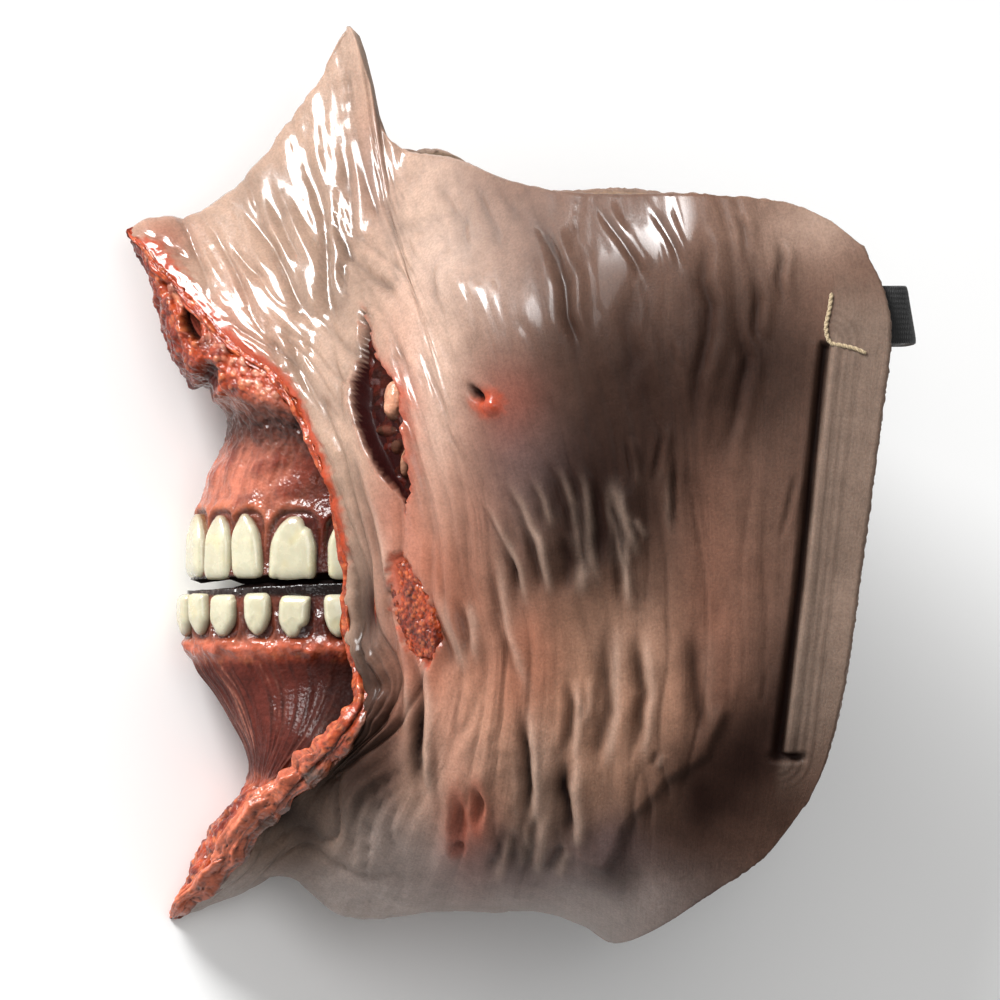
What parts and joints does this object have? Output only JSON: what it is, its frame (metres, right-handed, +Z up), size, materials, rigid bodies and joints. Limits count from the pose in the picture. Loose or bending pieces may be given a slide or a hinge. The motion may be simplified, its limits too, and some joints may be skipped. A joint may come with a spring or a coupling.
{
  "type": "horror half mask",
  "caption": "Hollow latex ghoul half mask with a ridged nose, torn mouth with gums and teeth, stranded skin and a black elastic strap, lying on its cheek.",
  "frame": {"origin": "centre of the bounding box's underside, on the surface that the mask lies on", "axes": "+Z up; the mask lies on its right cheek with the face towards -X and downwards, and the brow towards +Y"},
  "size_m": [0.1706, 0.1912, 0.1603],
  "materials": {
    "latex_skin": "semi-gloss painted latex",
    "strap_elastic": "matte woven elastic",
    "stitch_thread": "matte thread"
  },
  "bodies": {
    "root": {"mask_casting": "latex_skin", "elastic_strap": "strap_elastic", "stitch_left": "stitch_thread", "stitch_right": "stitch_thread"}
  },
  "joints": []
}
